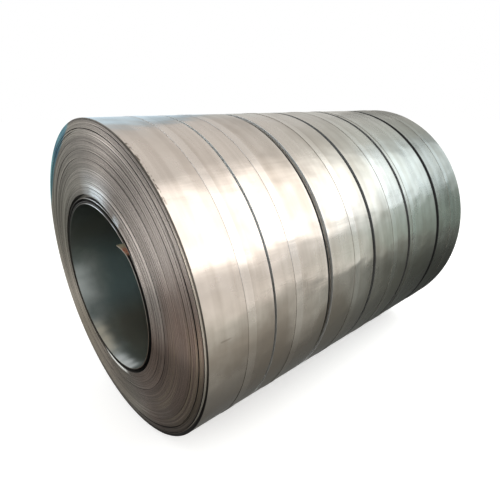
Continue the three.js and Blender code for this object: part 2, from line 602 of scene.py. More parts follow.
@dataclass(frozen=True)
class SlitEdges(SteelFinish):
    """Slit strip edges: sheared steel, each turn a thin ring of its own tone.

    Attributes:
        far: Where the far side lies, in painted shade, which is a little greener.
        far_tone: Colour that multiplies the metal there.
        dimmed: Where the painted shade is deepest, low on the far side.
        dull_tone: Colour that multiplies it there.
        film: Where painted shade darkens the face most, low down.
        film_thin: Where it is lighter close to the bore.
        film_thin_radii: Radii between which it lightens.
        film_thin_share: How much of it is missing there, as a negative.
        hook: Where a painted highlight streak lies on the face above the bore.
        hook_radii: Radii between which it comes on.
        hook_marks: Its two brightest painted glints: where they are, and the radius they reach.
        polished: Colour of the painted highlight.
        lip: Where a painted highlight lies on the lip of the bore.
        lip_radii: Radii between which it comes on, from the outside and from the inside.
        scraped: Colour of the lip there.
        grease: Colour of the painted shade in the gap round the bore.
        grease_radius: Radius inside which it lies.
        grease_angle: Angle round the axis at which it reaches furthest out.
        streaked: Where bundles of turns stand out lighter from the painted shade.
        streak: Colour of those bundles.
        shade_tone: Colour that multiplies the outer turns of the first coil on the under side.
        shade_side: Where that is.
        rubbed: Colour of a painted highlight on the turns just inside the rim, on one side.
        rubbed_side: Where it is.
        rim: Colour of the painted shade on the outermost turns, low down.
        rim_above: Their colour high up, where that shade is lighter.
        rim_radius: Radius outside which they are painted dark.
        rim_low: Where they count as low down.
        rim_wide: Where more turns are painted dark.
        crescent: Where the rim is painted blue.
        rim_sheen: Blues of the crescent, from the inside out.
        rim_deep: Deeper blue in patches.
        rim_thick: Where that is.
        near_face: Place along the axis past which the face of the first coil ends.
        raw: Colour in the gaps between coils, near-white and not metallic, as painted light.
        gap_levels: Brightness there along the axis, painted light and shade set gap by gap.
        run: Where painted shade darkens the gaps low down.
        run_tone: Colour that multiplies the metal there.
    """

    far: Sector = Sector(20.0, 41.0, 96.0)
    far_tone: str = "#E9EAE3"
    dull: Sector = Sector(293.0, 22.0, 52.0)
    dull_tone: str = "#D0CFC8"
    film: Sector = Sector(207.0, 22.0, 58.0)
    film_thin: Sector = Sector(165.0, 12.0, 35.0)
    film_thin_radii: Pair = (0.44, 0.36)
    film_thin_share: float = -0.58
    hook: Sector = Sector(97.0, 4.0, 20.0)
    hook_radii: Pair = (0.46, 0.35)
    hook_marks: tuple[tuple[Sector, float], ...] = (
        (Sector(98.5, 1.0, 11.0), 0.374), (Sector(121.0, 1.0, 4.5), 0.352),
    )
    polished: str = "#E4EEF4"
    lip: Sector = Sector(275.0, 8.0, 20.0)
    lip_radii: tuple[Pair, Pair] = ((0.346, 0.339), (0.327, 0.330))
    scraped: str = "#DDDFDA"
    grease: str = "#24221F"
    grease_radius: float = 0.3285
    grease_angle: float = 15.0
    streaked: Sector = Sector(205.0, 12.0, 38.0)
    streak: str = "#C9B49B"
    shade_tone: Colour = (0.55, 0.55, 0.55, 1.0)
    shade_side: Sector = Sector(250.0, 42.0, 75.0)
    rubbed: str = "#D2C7B8"
    rubbed_side: Sector = Sector(184.0, 18.0, 44.0)
    rim: str = "#221813"
    rim_above: str = "#6A645D"
    rim_radius: float = 0.583
    rim_low: Sector = Sector(235.0, 40.0, 80.0)
    rim_wide: Sector = Sector(255.0, 30.0, 60.0)
    crescent: Sector = Sector(49.0, 6.0, 29.0)
    rim_sheen: tuple[str, str] = ("#4C7F88", "#8CC6CE")
    rim_deep: str = "#2C6682"
    rim_thick: Sector = Sector(62.0, 3.0, 16.0)
    near_face: float = -0.79
    raw: str = "#EFF3F2"
    gap_levels: tuple[Pair, ...] = (
        (-0.60, 1.0), (-0.50, 1.0), (-0.29, 0.2), (-0.2575, 0.2), (-0.2565, 0.8), (-0.20, 0.8),
        (0.00, 0.34), (0.03, 0.34), (0.28, 0.26), (0.31, 0.26), (0.50, 0.04), (0.65, 0.04),
    )
    run: Sector = Sector(188.0, 14.0, 37.0)
    run_tone: Colour = (0.42, 0.40, 0.38, 1.0)

    def shade(self, graph: NodeGraph) -> Feeds:
        """Rings of single turns, with painted shade and highlights on the outer faces and painted light in
        the gaps between coils.

        Args:
            graph: The material's nodes.

        Returns:
            Shader input to what feeds it.
        """
        out, along = graph.out, graph.along
        ring_place = add_node(graph.tree, "ShaderNodeCombineXYZ", {
            "X": out, "Y": graph.axes.outputs["Y"], "Z": graph.axes.outputs["Z"],
        }).outputs["Vector"]
        # Single turns of 3 mm and bundles of turns of about 12 mm differ in tone.
        rings = graph.noise((330.0, 1.6, 1.6), 0.0, ring_place)
        bundles = graph.noise((75.0, 1.1, 1.1), 1.0, ring_place)
        # Mask of a painted highlight on the lip of the bore, which also makes the steel there less metallic.
        scraped = graph.product(*((out, *radii) for radii in self.lip_radii), self.lip)
        colour = self.rimmed(graph, self.worn(graph, rings, bundles, scraped))
        # Painted light in the gaps between coils, set gap by gap along the axis, with painted shade low down.
        between = graph.product((along, -0.75, -0.65), (along, 0.75, 0.65))
        raw = graph.times(graph.ramp(Ramp("X", self.gap_levels)), linear(self.raw))
        raw = graph.toned(raw, self.run_tone, self.run)
        rough = graph.combine("ADD", between, graph.product(scraped, 0.8))
        return {
            "Base Color": graph.blend(between, colour, raw),
            "Metallic": graph.mask(rough, 0.0, 1.0, 1.0, 0.0),
            "Roughness": graph.mask(rings, 0.3, 0.7, self.roughness + 0.05, self.roughness - 0.05),
            "Normal": graph.relief((rings, 0.00025)),
        }

    def worn(self, graph: NodeGraph, rings: Socket, bundles: Socket, scraped: Socket) -> Socket:
        """Colour of the end faces, with painted shade low down and round the bore, and painted highlights
        above the bore and on its lip.

        Args:
            graph: The material's nodes.
            rings: Noise that tells single turns apart.
            bundles: Noise that tells bundles of turns apart.
            scraped: Mask of the painted highlight on the lip of the bore.

        Returns:
            The colour.
        """
        out = graph.out
        clouds = graph.noise((6.0, 6.0, 6.0), 3.0)
        colour = self.mottled(graph, bundles, 0.3, 0.7)
        # Painted shade on the far side, deepest low on the far side.
        colour = graph.toned(colour, linear(self.far_tone), self.far)
        colour = graph.toned(colour, linear(self.dull_tone), self.dull)
        # Painted shade low on the face, lighter close to the bore.
        film = graph.product(self.film, (clouds, 0.25, 0.6, 0.7, 1.0))
        thin = graph.product((out, *self.film_thin_radii), self.film_thin)
        colour = graph.over(colour, self.dirt, graph.total(film, thin, self.film_thin_share))
        # A painted highlight streak above the bore, with its two brightest glints.
        colour = graph.over(colour, self.polished, (out, *self.hook_radii), self.hook, 0.4)
        for sector, reach in self.hook_marks:
            colour = graph.over(colour, self.polished, sector, (out, reach + 0.016, reach - 0.010),
                                (rings, 0.25, 0.6, 0.4, 0.9))
        colour = graph.step("SCALE", {
            0: colour, "Scale": graph.mask(rings, 0.25, 0.75, 0.80, 1.16),
        }).outputs["Vector"]
        colour = graph.over(colour, self.streak, (bundles, 0.46, 0.62), (out, 0.40, 0.46),
                            self.streaked, 0.62)
        # Painted shade in the gap round the bore.
        inward = graph.total(out, graph.facing(self.grease_angle), -0.010)
        colour = graph.over(colour, self.grease,
                            (inward, self.grease_radius + 0.004, self.grease_radius), 0.9)
        # Painted highlight on the lip of the bore.
        return graph.over(colour, self.scraped, scraped)

    def rimmed(self, graph: NodeGraph, colour: Socket) -> Socket:
        """The colour with painted shade and a painted highlight at the rim of the first coil's near face, and
        its blue crescent.

        Args:
            graph: The material's nodes.
            colour: Colour of the face.

        Returns:
            The colour.
        """
        out, rim = graph.out, self.rim_radius
        on_face = graph.mask(graph.along, self.near_face, self.near_face - 0.005)
        # Painted shade on the outer turns low down, and a painted highlight on the turns just inside the rim.
        colour = graph.toned(colour, self.shade_tone, on_face, (out, 0.53, 0.565), self.shade_side)
        colour = graph.over(colour, self.rubbed, on_face, (out, rim - 0.011, rim - 0.008), self.rubbed_side)
        # Painted shade on the outermost turns, darkest low down.
        rim_shade_colour = graph.blend(graph.sector(self.rim_low), linear(self.rim_above), linear(self.rim))
        outward = graph.total(out, graph.sector(self.rim_wide), 0.006)
        rim_shaded = graph.product(on_face, (outward, rim - 0.0015, rim + 0.0005))
        colour = graph.blend(rim_shaded, colour, rim_shade_colour)
        # The rim is painted blue high on the far side, in a crescent.
        sheen = graph.sector(self.crescent)
        inner, outer = (linear(tone) for tone in self.rim_sheen)
        blues = graph.blend(graph.mask(out, 0.560, 0.586), inner, outer)
        patches = graph.noise((9.0, 9.0, 9.0), 2.0)
        blues = graph.over(blues, self.rim_deep, self.rim_thick, (patches, 0.35, 0.6, 0.3, 0.9))
        reach = graph.total(out, sheen, 0.040)
        crescent = graph.product(on_face, (reach, rim - 0.006, rim + 0.003), (sheen, 0.0, 0.3))
        return graph.blend(crescent, colour, blues)


@dataclass(frozen=True)
class OiledBore(SteelFinish):
    """Inside of the innermost turn: steel with painted shade deeper in and at the top, and painted highlights
    at the mouth.

    Attributes:
        mouth: Place along the axis of the near mouth.
        dried: Where the paler steel at the mouth reaches furthest in before the painted shade.
        oiled: Colour of the painted shade deeper in.
        thin_oil: Bluer colour there on the far side, as a painted reflection.
        thin_side: Where that is.
        blackened: Colour of the painted shade at the top.
        black_angle: Angle round the axis at its middle.
        rubbed: Colour of the bright steel below the mouth: rubbed, with a painted highlight over it.
        rubbed_below: Where that is.
        rubbed_depth: How far in it reaches.
        buffed: Warmer colour of a painted highlight beside that.
        buffed_beside: Where that is.
        glint: Where a soft painted glint lies on the far side.
        glint_depth: How far in it does.
    """

    mouth: float = -0.836
    dried: Sector = Sector(352.0, 6.0, 27.0)
    oiled: str = "#A09F93"
    thin_oil: str = "#9DB0B2"
    thin_side: Sector = Sector(355.0, 14.0, 50.0)
    blackened: str = "#787871"
    black_angle: float = 75.0
    rubbed: str = "#EEF2F1"
    rubbed_below: Sector = Sector(263.0, 6.0, 20.0)
    rubbed_depth: float = 0.058
    buffed: str = "#E6DBC4"
    buffed_beside: Sector = Sector(298.0, 3.0, 24.0)
    glint: Sector = Sector(347.0, 2.0, 20.0)
    glint_depth: float = 0.120

    def shade(self, graph: NodeGraph) -> Feeds:
        """Steel with painted shade deeper in and at the top, and painted highlights at the near mouth.

        Args:
            graph: The material's nodes.

        Returns:
            Shader input to what feeds it.
        """
        along = graph.along
        clouds = graph.noise((9.0, 9.0, 9.0), 4.0)
        # The rubbed steel and its painted highlights have uneven edges, drawn out along the axis.
        axial_streaks = graph.noise((10.0, 34.0, 34.0), 3.0)
        colour = self.mottled(graph, clouds, 0.35, 0.65)
        # Painted shade deeper in, past an uneven line a few centimetres from the mouth, with a bluer painted
        # reflection on the far side.
        uneven = graph.total(graph.total(along, graph.sector(self.dried), -0.06), clouds, 0.08)
        deep = graph.product((uneven, self.mouth + 0.045, self.mouth + 0.150), (along, -0.40, -0.55))
        deep_tone = graph.blend(graph.sector(self.thin_side), linear(self.oiled), linear(self.thin_oil))
        colour = graph.blend(deep, colour, deep_tone)
        # Painted shade at the top of the bore.
        colour = graph.over(colour, self.blackened, (graph.facing(self.black_angle), 0.2, 0.8), 0.85)
        inwards = graph.total(along, axial_streaks, -0.02)
        at_mouth = graph.mask(inwards, self.mouth + self.rubbed_depth, self.mouth)
        beside = graph.sector(self.buffed_beside)
        # Painted highlights below and beside the mouth, and a soft painted glint on the far side.
        glint_sides = graph.combine("ADD", graph.sector(self.rubbed_below), graph.product(beside, 0.75))
        glint = graph.product(self.glint, (inwards, self.mouth + self.glint_depth, self.mouth), 0.46)
        rubbed = graph.product(graph.combine("ADD", graph.product(at_mouth, glint_sides), glint),
                               (axial_streaks, 0.3, 0.6, 0.75, 1.0))
        tone = graph.blend(beside, linear(self.rubbed), linear(self.buffed))
        return {
            "Base Color": graph.blend(rubbed, colour, tone),
            "Metallic": graph.mask(rubbed, 0.0, 1.0, 1.0, 0.15),
            "Normal": graph.relief((clouds, 0.002)),
        }


@dataclass(frozen=True)
class GapGrime(SteelFinish):
    """Painted shade in the gaps between turns: dark and matt.

    Attributes:
        metallic: How much of a metal it still looks, 0 to 1.
    """

    metallic: float = 0.3

    def shade(self, graph: NodeGraph) -> Feeds:
        """Dark dust with fine specks.

        Args:
            graph: The material's nodes.

        Returns:
            Shader input to what feeds it.
        """
        specks = graph.noise((90.0, 90.0, 90.0), 3.0)
        return {"Base Color": self.mottled(graph, specks, 0.3, 0.7), "Metallic": self.metallic}


@dataclass(frozen=True)
class RustedFace(SteelFinish):
    """Outside of the loose turn: matt strip whose lifted end has begun to rust, in painted shade where it
    lies against the coil.

    Attributes:
        hidden: Colour of the painted shade where it lies against the coil.
        lifted_radius: Radius inside which its end has lifted out of that shade.
        rust: Colour of the thin rust.
        rust_roughness: Roughness of the rust.
        rust_place: Where on the end plane the rust is thickest, from the axis.
        rust_reach: How far it spreads.
    """

    hidden: str = "#171513"
    lifted_radius: float = 0.303
    rust: str = "#B4654C"
    rust_roughness: float = 0.8
    rust_place: Pair = (-0.214, 0.200)
    rust_reach: float = 0.036

    def shade(self, graph: NodeGraph) -> Feeds:
        """Dull strip, freckled with rust at its lifted end, with painted shade behind it.

        Args:
            graph: The material's nodes.

        Returns:
            Shader input to what feeds it.
        """
        away = graph.step("DISTANCE", {0: graph.flat, 1: (0.0, *self.rust_place)}).outputs["Value"]
        near = graph.mask(away, self.rust_reach, self.rust_reach / 3)
        # Rust freckles are a few millimetres across.
        freckles = graph.noise((160.0, 160.0, 160.0), 4.0)
        rusty = graph.product(near, (freckles, 0.3, 0.6))
        clouds = graph.noise((9.0, 9.0, 9.0), 3.0)
        colour = graph.over(self.mottled(graph, clouds, 0.3, 0.7), self.rust, rusty)
        # Painted shade where the strip lies against the coil, outside its lifted end.
        lifted = graph.mask(graph.out, self.lifted_radius + 0.0025, self.lifted_radius - 0.0025)
        return {
            "Base Color": graph.blend(lifted, linear(self.hidden), colour),
            "Metallic": graph.mask(rusty, 0.0, 1.0, 0.35, 0.15),
            "Roughness": graph.mask(rusty, 0.0, 1.0, self.roughness, self.rust_roughness),
        }


@dataclass(frozen=True)
class PlainSteel(SteelFinish):
    """Straps and seals: thin bright steel sheet with fine scuffs.

    Attributes:
        under_heights: Heights from the axis between which the painted shade of the under side comes on.
        burr: How much a painted highlight covers the edges, 0 to 1, above the middle of the first straps.
        burr_heights: Heights from the axis between which it comes on.
        burred: Colour of the painted highlight.
        burr_end: Place along the axis past which the straps have none.
    """

    under_heights: Pair = (0.0, -0.36)
    burr: float = 0.0
    burr_heights: Pair = (0.10, 0.22)
    burred: str = "#F6FBFF"
    burr_end: float = -0.27

    def shade(self, graph: NodeGraph) -> Feeds:
        """Scuffed sheet, with a painted highlight on its slit edges if it has one.

        Args:
            graph: The material's nodes.

        Returns:
            Shader input to what feeds it.
        """
        scuffs = graph.noise((220.0, 9.0, 9.0), 3.0)
        height = graph.axes.outputs["Z"]
        colour = self.mottled(graph, scuffs, 0.35, 0.7)
        # Painted shade on the under side.
        colour = graph.over(colour, self.dirt, (height, *self.under_heights))
        # Painted highlight on the slit edges of the first straps, white and not metallic.
        edge_lit = graph.product((height, *self.burr_heights),
                                   (graph.along, self.burr_end, self.burr_end - 0.01), self.burr)
        return {
            "Base Color": graph.over(colour, self.burred, edge_lit),
            "Metallic": graph.mask(edge_lit, 0.0, 1.0, 1.0, 0.0),
            "Normal": graph.relief((scuffs, 0.0002)),
        }


# ---- shapes --------------------------------------------------------------------------


class Surface(IntEnum):
    """Material slots of a wound coil."""

    WALL = 0
    EDGES = 1
    BORE = 2
    GAPS = 3


@dataclass(frozen=True)
class SetBack:
    """Neighbouring turns that lie deeper than the rest over part of the way round.

    Attributes:
        first: Number of turns outside the first of them.
        turns: How many turns are set back.
        depth: How deep they lie at the middle of the stretch.
        centre: Angle at the middle of the stretch.
        spread: Degrees to either side over which they come level again.
        whole: Share of that within which they keep their depth.
    """

    first: int
    turns: int
    depth: float
    centre: float = 180.0
    spread: float = 360.0
    whole: float = 0.45

    def share(self, angle: float) -> float:
        """Share of the full depth at an angle, 0 to 1."""
        away = min(1.0, angle_between(angle, self.centre) / self.spread)
        return 1.0 - smooth_share(away, self.whole, 1.0)


@dataclass(frozen=True)
class EndFace:
    """One end of a coil: how many turns show there one by one, and how they lie.

    Attributes:
        turns_shown: Turns counted from the outside that are modelled one by one.
        outer_turns: Outermost turns that keep back from the rest.
        outer_step: How far they keep back, positive where they lie deeper.
        lean: How far the innermost turn has slid out, negative where it has slid in.
        set_back: Turns that lie deeper over part of the way.
        unevenness: Greatest depth by which single turns stand back.
        drift: How far the outer bundle of turns is pressed outwards on the far side.
        drift_most: How far under the outside that is greatest.
        drift_end: How far under it ends.
        drift_angle: Angle round the axis at its middle.
        drift_spread: Degrees from there at which it ends and is whole.
    """

    turns_shown: int
    outer_turns: int = 0
    outer_step: float = 0.0
    lean: float = 0.0
    set_back: tuple[SetBack, ...] = ()
    unevenness: float = 0.0009
    drift: float = 0.0
    drift_most: float = 0.042
    drift_end: float = 0.16
    drift_angle: float = 20.0
    drift_spread: Pair = (110.0, 20.0)


@dataclass(kw_only=True)
class Piece:
    """A piece of the set.

    Attributes:
        number: Which one of its kind it is, from the low X end.
        low: Place of its near side at the outside.
        high: Place of its far side at the outside.
        axis_height: Height of the axis above the floor.
        materials: Its materials, in slot order.
    """

    number: int = 1
    low: float
    high: float
    axis_height: float
    materials: tuple[Material, ...]


@dataclass(kw_only=True)
class WoundCoil(Piece):
    """One narrow coil of strip, wound from the bore out, with its turns on both ends.

    Attributes:
        radius: Outside radius.
        bore: Bore radius.
        near: Its near end.
        far: Its far end.
        wall_steps: Faces across the wall.
        groove_depth: Depth of the groove between two turns.
        edge_round: How much the slitter rounds the strip's edges.
        ripple: Greatest depth to which turns wave in and out round the coil.
        bundle_turns: Fewest and most neighbouring turns that stand back together.
    """

    radius: float
    bore: float
    near: EndFace
    far: EndFace
    wall_steps: int = 14
    groove_depth: float = 0.0008
    edge_round: float = 0.0004
    ripple: float = 0.0007
    bundle_turns: tuple[int, int] = (4, 14)

    def turn_radii(self, turns: int) -> list[float]:
        """Outside radii of the outermost turns, from the outside in."""
        most = int((self.radius - self.bore) / STRIP_THICKNESS + 0.5)
        return [self.radius - i * STRIP_THICKNESS for i in range(min(turns, most))]

    def face_points(self, end: EndFace, face: float, outwards: int, rng: random.Random) -> list[Pair]:
        """Profile of one end face, from the outside in.

        Args:
            end: The end face.
            face: Place of the face at the outside.
            outwards: Direction along X in which the face looks, -1 or 1.
            rng: Random source for the unevenness of single turns.

        Returns:
            Radius and place of each point.
        """
        points = []
        slope = end.lean / (self.radius - self.bore)
        wander, bundle, left = 0.0, 0.0, 0
        radii = self.turn_radii(end.turns_shown)
        for count, outer in enumerate(radii):
            if left == 0:
                left, bundle = rng.randint(*self.bundle_turns), rng.uniform(0.0, 1.6 * end.unevenness)
            left -= 1
            wander = 0.75 * wander + 0.3 * rng.uniform(0.0, end.unevenness)
            back, step = 0.0, 0.0
            if count >= end.outer_turns:
                back = bundle + wander + rng.uniform(0.0, 0.2 * end.unevenness)
                step = end.outer_step
            inner = outer - STRIP_THICKNESS
            lie = face + outwards * (slope * (self.radius - outer) + step - back)
            points.append((outer - self.edge_round, lie))
            points.append((inner + self.edge_round, lie))
            if inner > self.bore + STRIP_THICKNESS / 2:
                points.append((inner, lie - outwards * self.groove_depth))
        if points[-1][0] > self.bore + STRIP_THICKNESS:
            points.append((self.bore + self.edge_round, face + outwards * (end.lean + end.outer_step)))
        points.append((self.bore, points[-1][1] - outwards * self.edge_round))
        return points

    def build(self) -> Object:
        """Spins the profile round the axis and shapes its turns.

        Returns:
            The coil's object.
        """
        rng = random.Random(100 + self.number)
        near = self.face_points(self.near, self.low, -1, rng)
        far = self.face_points(self.far, self.high, 1, rng)
        start, width = self.low + self.edge_round, self.high - self.low - 2 * self.edge_round
        wall = [(self.radius, start + width * i / self.wall_steps) for i in range(self.wall_steps + 1)]
        profile = wall + far + near[::-1]
        bm = bmesh.new()
        corners = [bm.verts.new((x, r, self.axis_height)) for r, x in profile]
        edges = [bm.edges.new((a, b)) for a, b in zip(corners, corners[1:] + corners[:1])]
        bmesh.ops.spin(bm, geom=corners + edges, cent=(0, 0, self.axis_height), axis=ALONG_AXIS,
                       dvec=(0, 0, 0), angle=math.tau, steps=STEPS_PER_TURN, use_merge=True,
                       use_duplicate=False)
        bmesh.ops.remove_doubles(bm, verts=bm.verts, dist=TOUCHING)
        bmesh.ops.recalc_face_normals(bm, faces=bm.faces)
        self.paint(bm)
        self.shape_turns(bm, rng)
        return finish_mesh(bm, f"wound_coil_{self.number}", self.materials)

    def paint(self, bm: Mesh) -> None:
        """Gives each face the material of its surface.

        Args:
            bm: The spun coil.
        """
        for face in bm.faces:
            centre = face.calc_center_median()
            radius = math.hypot(centre.y, centre.z - self.axis_height)
            turned_in = abs(face.normal.x) < SIDEWAYS
            places = [vert.co.x for vert in face.verts]
            bared = (max(places) - min(places)) * (radius > self.bore + STRIP_THICKNESS)
            if turned_in and (bared > 2 * STRIP_THICKNESS or radius > self.radius - self.edge_round):
                face.material_index = Surface.WALL
            elif radius < self.bore + self.edge_round and turned_in:
                face.material_index = Surface.BORE
            elif not turned_in or bared > STRIP_THICKNESS:
                face.material_index = Surface.EDGES
            else:
                face.material_index = Surface.GAPS

    def shape_turns(self, bm: Mesh, rng: random.Random) -> None:
        """Sets turns back, lets them ripple a little and steps the strip's ends.

        Args:
            bm: The spun coil.
            rng: Random source for the ripple.
        """
        middle = (self.low + self.high) / 2
        waves = [(rng.randint(2, 7), rng.uniform(0, math.tau), rng.uniform(10, 60)) for _ in range(4)]
        for vert in bm.verts:
            radius = math.hypot(vert.co.y, vert.co.z - self.axis_height)
            angle = math.degrees(math.atan2(vert.co.z - self.axis_height, vert.co.y)) % 360
            near = vert.co.x < middle
            end, outwards, face = (self.near, -1, self.low) if near else (self.far, 1, self.high)
            on_wall = radius > self.radius - self.edge_round / 2
            at_rim = on_wall and abs(vert.co.x - face) < 2 * self.edge_round
            deeper = 0.0
            if (at_rim or not on_wall) and radius > self.bore - ROUNDING:
                deeper = self.depth_of(end, radius, angle)
            if not on_wall and radius > self.bore + ROUNDING:
                swing = sum(math.sin(n * math.radians(angle) + p + radius * k) for n, p, k in waves) / 8 + 0.5
                deeper += self.ripple * swing * smooth_share(self.radius - radius, 0.0, 0.02)
            new_radius = radius + self.end_step(radius, angle) + self.drift_of(end, radius, angle)
            new_angle = math.radians(self.at_step(angle))
            vert.co = round_axis(self.axis_height, vert.co.x - outwards * deeper, new_radius, new_angle)

    def depth_of(self, end: EndFace, radius: float, angle: float) -> float:
        """How deep a point of an end face is set back.

        Args:
            end: The end face.
            radius: Distance from the axis.
            angle: Angle round the axis.

        Returns:
            The depth in metres.
        """
        position = (self.radius - radius) / STRIP_THICKNESS
        in_groove = abs(position - round(position)) < 0.05
        slack = 0.1 if in_groove else 0.0
        deepest = 0.0
        for part in end.set_back:
            if part.first - slack <= position < part.first + part.turns + slack:
                deepest = max(deepest, part.depth * part.share(angle))
        return deepest

    def drift_of(self, end: EndFace, radius: float, angle: float) -> float:
        """Outward move of the turns under the outer bundle on the far side.

        Args:
            end: The end face.
            radius: Distance from the axis.
            angle: Angle round the axis.

        Returns:
            The move in metres.
        """
        inside = self.radius - radius
        hump = smooth_share(inside, 0.0, end.drift_most)
        hump *= 1 - smooth_share(inside, end.drift_most, end.drift_end)
        return end.drift * hump * smooth_share(angle_between(angle, end.drift_angle), *end.drift_spread)

    def at_step(self, angle: float) -> float:
        """Moves the column just before a strip end up to it, so that the step is sharp.

        Args:
            angle: Angle of the column.

        Returns:
            Its angle after the move.
        """
        for step in (OUTER_END_ANGLE, INNER_END_ANGLE + STEP_ANGLE):
            if abs(angle - (step - STEP_ANGLE)) < STEP_ANGLE / 4:
                return step - STEP_ANGLE / 20
        return angle

    def end_step(self, radius: float, angle: float) -> float:
        """Radial move at a strip end: a step of one thickness that runs out flush.

        Args:
            radius: Distance from the axis.
            angle: Angle round the axis.

        Returns:
            The move in metres, outwards positive.
        """
        height = STRIP_THICKNESS - 2 * self.edge_round
        outer = (angle - OUTER_END_ANGLE + 0.01) % 360
        if radius > self.radius - self.edge_round * 2 and outer < STRIP_END_RUN:
            return -height * (1 - outer / STRIP_END_RUN)
        inner = (INNER_END_ANGLE - angle + 0.01) % 360
        if radius < self.bore + self.edge_round * 2 and inner < STRIP_END_RUN and self.number > 1:
            return height * (1 - inner / STRIP_END_RUN)
        return 0.0


def finish_mesh(bm: Mesh, name: str, materials: tuple[Material, ...], sharp: float = 32.0) -> Object:
    """Turns a mesh under work into a finished object in the scene.

    Args:
        bm: The mesh under work, freed here.
        name: Name of the object.
        materials: Its materials in slot order.
        sharp: Angle in degrees past which an edge is drawn hard.

    Returns:
        The object.
    """
    for face in bm.faces:
        face.smooth = True
    for edge in bm.edges:
        if len(edge.link_faces) == 2 and edge.calc_face_angle(0.0) > math.radians(sharp):
            edge.smooth = False
    mesh = bpy.data.meshes.new(name)
    bm.to_mesh(mesh)
    bm.free()
    obj = bpy.data.objects.new(name, mesh)
    for material in materials:
        mesh.materials.append(material)
    bpy.context.scene.collection.objects.link(obj)
    return obj


@dataclass(kw_only=True)
class Ribbon(Piece):
    """A strip of sheet on edge, laid along a path round the axis.

    Attributes:
        thickness: Its thickness, which grows towards the axis.
        steps: Number of pieces along it.
    """

    thickness: float
    steps: int

    def path(self, share: float) -> Pair:
        """Outside radius and angle at a share of the way; each strip says its own.

        Args:
            share: The share, 0 to 1.

        Returns:
            The radius and the angle in degrees.
        """
        raise NotImplementedError

    def across(self, share: float) -> list[Vector]:
        """Both corners at a share of the way.

        Args:
            share: The share, 0 to 1.

        Returns:
            The near and the far corner.
        """
        radius, angle = self.path(share)
        turned = math.radians(angle)
        return [Vector(round_axis(self.axis_height, x, radius, turned)) for x in (self.low, self.high)]

    def lay(self) -> Mesh:
        """Lays the strip along its path.

        Returns:
            The closed strip.
        """
        bm = bmesh.new()
        ends = [bm.verts.new(point) for point in self.across(0.0)]
        edge = bm.edges.new(ends)
        for step in range(1, self.steps + 1):
            grown = bmesh.ops.extrude_edge_only(bm, edges=[edge])["geom"]
            edge = next(item for item in grown if isinstance(item, bmesh.types.BMEdge))
            fresh = [item for item in grown if isinstance(item, bmesh.types.BMVert)]
            fresh.sort(key=lambda vert: vert.co.x)
            for vert, point in zip(fresh, self.across(step / self.steps)):
                vert.co = point
        for face in bm.faces:
            if outwardness(face, self.axis_height) < 0:
                face.normal_flip()
        bmesh.ops.solidify(bm, geom=bm.faces[:], thickness=self.thickness)
        bmesh.ops.recalc_face_normals(bm, faces=bm.faces)
        return bm


@dataclass(kw_only=True)
class LooseTurn(Ribbon):
    """The innermost turn of the first coil, which has sprung loose and lifts at its end.

    Attributes:
        thickness: Thickness of the strip.
        steps: Number of pieces along it.
        start_angle: Angle at which it begins.
        settle_angle: Degrees of the way after which it lies on the coil.
        tail_angle: Degrees of the way after which its tail lifts.
        sweep_angle: Degrees of the way at which it ends.
        tail_lift: How far the tail lifts at its end.
    """

    thickness: float = STRIP_THICKNESS
    steps: int = 260
    start_angle: float = 133.0
    settle_angle: float = 180.0
    tail_angle: float = 350.0
    sweep_angle: float = 366.0
    tail_lift: float = 0.038

    def path(self, share: float) -> Pair:
        """Outside radius and angle at a share of the way round.

        Args:
            share: The share, 0 to 1.

        Returns:
            The radius and the angle in degrees.
        """
        swept = share * self.sweep_angle
        settled = smooth_share(swept, 0.0, self.settle_angle)
        lifted = max(0.0, (swept - self.tail_angle) / (self.sweep_angle - self.tail_angle))
        radius = BORE_RADIUS + self.thickness + LOOSE_TURN_GAP * (1 - settled)
        return radius - self.tail_lift * lifted ** 1.6 - CLEARANCE, self.start_angle - swept

    def build(self) -> Object:
        """Makes the loose turn.

        Returns:
            Its object.
        """
        bm = self.lay()
        for face in bm.faces:
            turned_in = Surface.WALL if outwardness(face, self.axis_height) > 0 else Surface.BORE
            face.material_index = Surface.EDGES if abs(face.normal.x) > SIDEWAYS else turned_in
        return finish_mesh(bm, "loose_inner_turn", self.materials)


@dataclass(kw_only=True)
class StrapBand(Ribbon):
    """A flat steel strap round a coil, whose end laps over its beginning under the seal.

    Attributes:
        thickness: Thickness of the strap.
        steps: Number of pieces along it.
        inside: Its inside radius.
        outside: The largest radius that it may reach.
        lap_angle: Angle of the middle of the lap.
        lap_length: How far its end laps over its beginning.
    """

    inside: float
    outside: float
    lap_angle: float
    thickness: float = 0.0009
    steps: int = 200
    lap_length: float = 0.058

    def path(self, share: float) -> Pair:
        """Outside radius and angle at a share of the way round.

        Args:
            share: The share, 0 to 1.

        Returns:
            The radius and the angle in degrees.
        """
        lap = math.degrees(self.lap_length / self.outside)
        swept = share * (360 + lap)
        climbed = smooth_share(swept, 360 - lap, 360 - lap / 3)
        radius = self.inside + self.thickness + climbed * (self.thickness + CLEARANCE)
        return radius, self.lap_angle - lap / 2 + swept

    def build(self) -> Object:
        """Makes the strap.

        Returns:
            Its object.
        """
        bm = self.lay()
        for face in bm.faces:
            face.material_index = 1 if abs(face.normal.x) > SIDEWAYS else 0
        return finish_mesh(bm, f"strap_band_{self.number}", self.materials)


